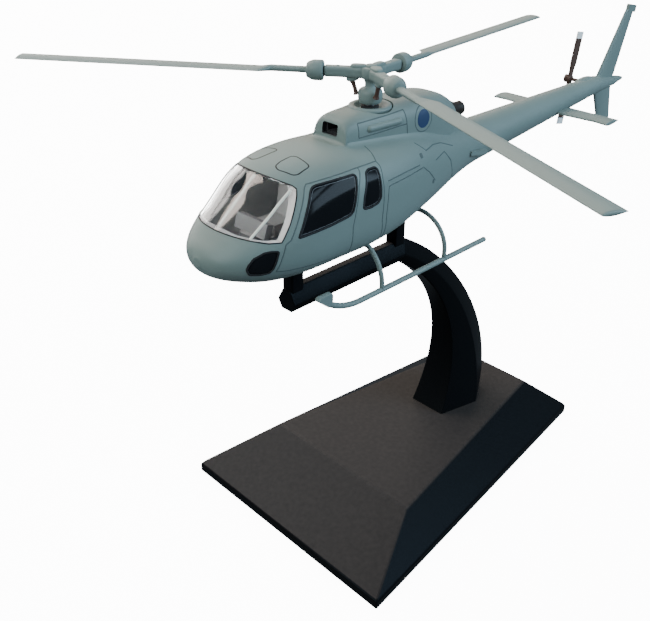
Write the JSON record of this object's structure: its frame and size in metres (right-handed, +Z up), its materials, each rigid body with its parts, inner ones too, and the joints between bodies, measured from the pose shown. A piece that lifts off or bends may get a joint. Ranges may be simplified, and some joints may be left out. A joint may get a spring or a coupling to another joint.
{
  "type": "model helicopter on display stand",
  "caption": "Scale-model helicopter with spinning main and tail rotors and landing skids, held by prongs on a curved stand arm above a sloped plinth.",
  "frame": {"origin": "middle of the plinth's underside, on the surface it stands on", "axes": "+Z up, nose towards -Y, tail towards +Y, port side towards +X"},
  "size_m": [0.1294, 0.1563, 0.1105],
  "materials": {
    "body_paint": "satin",
    "stand_plastic": "satin",
    "clear_pane": "gloss",
    "dark_pane": "gloss",
    "black_plastic": "matte",
    "brown_plastic": "satin",
    "steel": "satin"
  },
  "bodies": {
    "stand": {"plinth": "stand_plastic", "plinth_cover": "stand_plastic", "arm_screws": "steel", "stand_arm": "stand_plastic", "cradle_bar": "stand_plastic"},
    "airframe": {"cabin_shell": "body_paint", "belly_pan": "body_paint", "belly_screw": "steel", "windscreen": "clear_pane", "door_window_port": "dark_pane", "rear_window_port": "dark_pane", "chin_window_port": "dark_pane", "door_window_starboard": "dark_pane", "rear_window_starboard": "dark_pane", "chin_window_starboard": "dark_pane", "cabin_floor": "black_plastic", "pilot_seat": "brown_plastic", "copilot_seat": "brown_plastic", "rear_bench": "brown_plastic", "cabin_bulkhead": "black_plastic", "instrument_console": "black_plastic", "engine_cowl": "body_paint", "intake_duct": "black_plastic", "exhaust_nozzle": "brown_plastic", "mast_collar": "body_paint", "mast_bush": "steel", "tail_boom": "body_paint", "stabiliser": "body_paint", "tail_fin": "body_paint", "tail_cone": "body_paint", "tail_bush": "steel", "side_step": "body_paint", "strut_front_port": "body_paint", "strut_rear_port": "body_paint", "strut_front_starboard": "body_paint", "strut_rear_starboard": "body_paint", "skid_port": "body_paint", "skid_starboard": "body_paint"},
    "main_rotor": {"mast_shaft": "steel", "mast_clip": "steel", "swash_drum": "body_paint", "pitch_links": "brown_plastic", "hub_star": "body_paint", "hub_screw": "steel", "grip_bolts": "steel", "blade_grip_1": "body_paint", "blade_grip_2": "body_paint", "blade_grip_3": "body_paint", "main_blade_1": "body_paint", "main_blade_2": "body_paint", "main_blade_3": "body_paint"},
    "tail_rotor": {"tail_rotor_shaft": "brown_plastic", "tail_rotor_blades": "brown_plastic", "tail_rotor_cap": "brown_plastic"}
  },
  "joints": [
    {"name": "lift_off", "type": "slide", "parent": "stand", "child": "airframe", "axis": [0, 0, 1], "range_m": [0, 0.02]},
    {"name": "main_rotor_spin", "type": "hinge", "parent": "airframe", "child": "main_rotor", "pos_m": [0, -0.0206, 0.1085], "axis": [0, 0, 1], "continuous": true},
    {"name": "tail_rotor_spin", "type": "hinge", "parent": "airframe", "child": "tail_rotor", "pos_m": [0, 0.0687, 0.0903], "axis": [1, 0, 0], "continuous": true}
  ]
}
